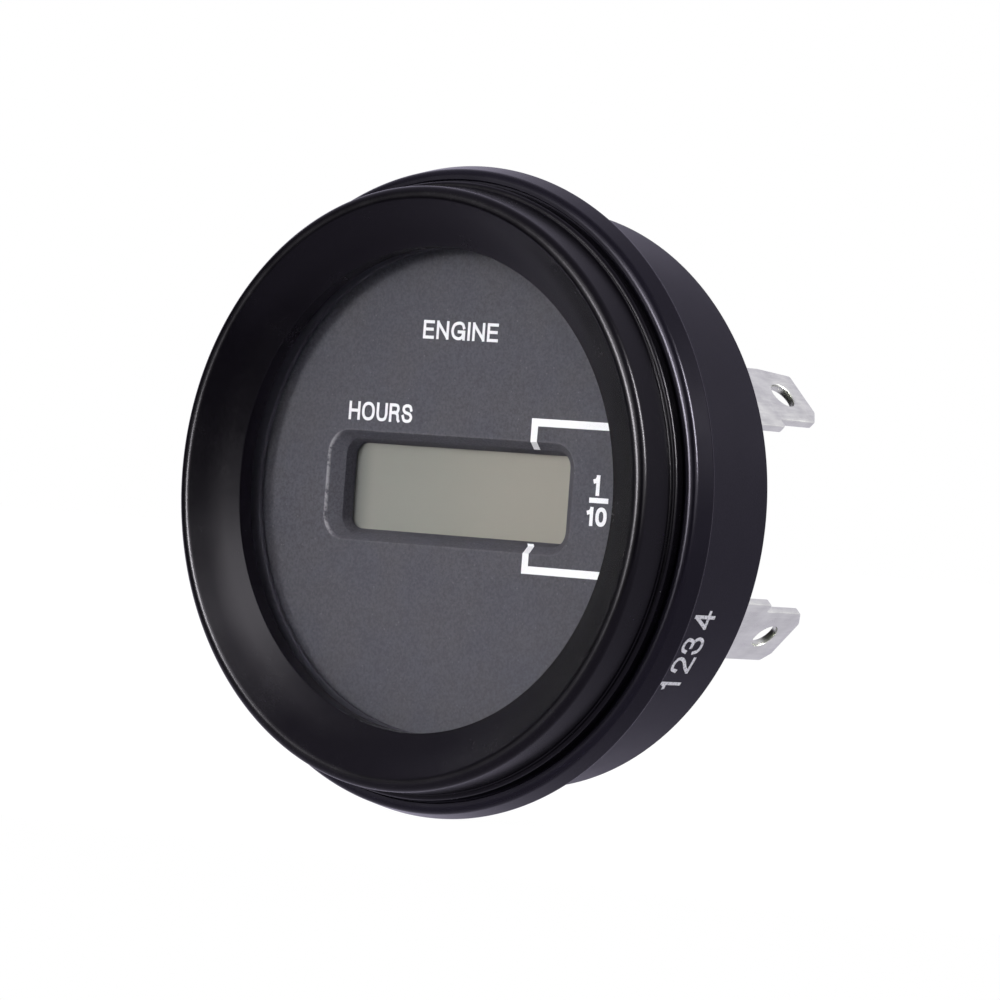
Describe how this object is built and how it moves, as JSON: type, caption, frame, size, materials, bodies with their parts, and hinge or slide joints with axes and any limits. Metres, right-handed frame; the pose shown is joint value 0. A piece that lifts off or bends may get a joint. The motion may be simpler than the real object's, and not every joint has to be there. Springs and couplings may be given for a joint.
{
  "type": "hour meter",
  "caption": "Round panel hour meter with a dished black bezel, a small liquid crystal display and two blade terminals at the back.",
  "frame": {"origin": "on the meter's axis, in the plane of the panel: the flange's rear face", "axes": "+Y backwards along the meter's axis, -Y the way the dial faces, +Z the top of the dial, +X the right of the dial as it is read"},
  "size_m": [0.058, 0.0319, 0.058],
  "materials": {
    "bezel": "black moulded plastic, satin gloss",
    "case": "black moulded plastic, fine spark texture",
    "dial": "charcoal grey, fine grain, white print",
    "inner": "black moulded plastic, matt",
    "clear": "clear polished plastic",
    "rubber": "black rubber",
    "polariser": "grey green film",
    "glass": "clear ground-edge glass",
    "reflector": "silvered film",
    "holder": "white moulded plastic",
    "strip": "layered silicone rubber",
    "board": "green solder mask on glass laminate",
    "component": "black moulded epoxy",
    "can": "bright drawn can",
    "tin": "tin plated, satin",
    "steel": "zinc plated steel"
  },
  "bodies": {
    "root": {"case_body": "case", "rear_cover": "case", "bezel_ring": "bezel", "lens": "clear", "lens_gasket": "rubber", "spacer_ring": "inner", "dial_plate": "dial", "lcd_front_polariser": "polariser", "lcd_front_glass": "glass", "lcd_rear_glass": "glass", "lcd_reflector": "reflector", "lcd_holder": "holder", "connector_strip_upper": "strip", "connector_strip_lower": "strip", "circuit_board": "board", "driver_chip": "component", "memory_chip": "component", "quartz_crystal": "can", "filter_capacitor": "can", "terminal_upper": "tin", "terminal_lower": "tin", "board_screw_1": "steel", "board_screw_2": "steel", "board_screw_3": "steel", "board_screw_4": "steel", "resistor_1": "component", "resistor_2": "component", "resistor_3": "component", "resistor_4": "component", "diode_1": "component", "diode_2": "component"}
  },
  "joints": []
}
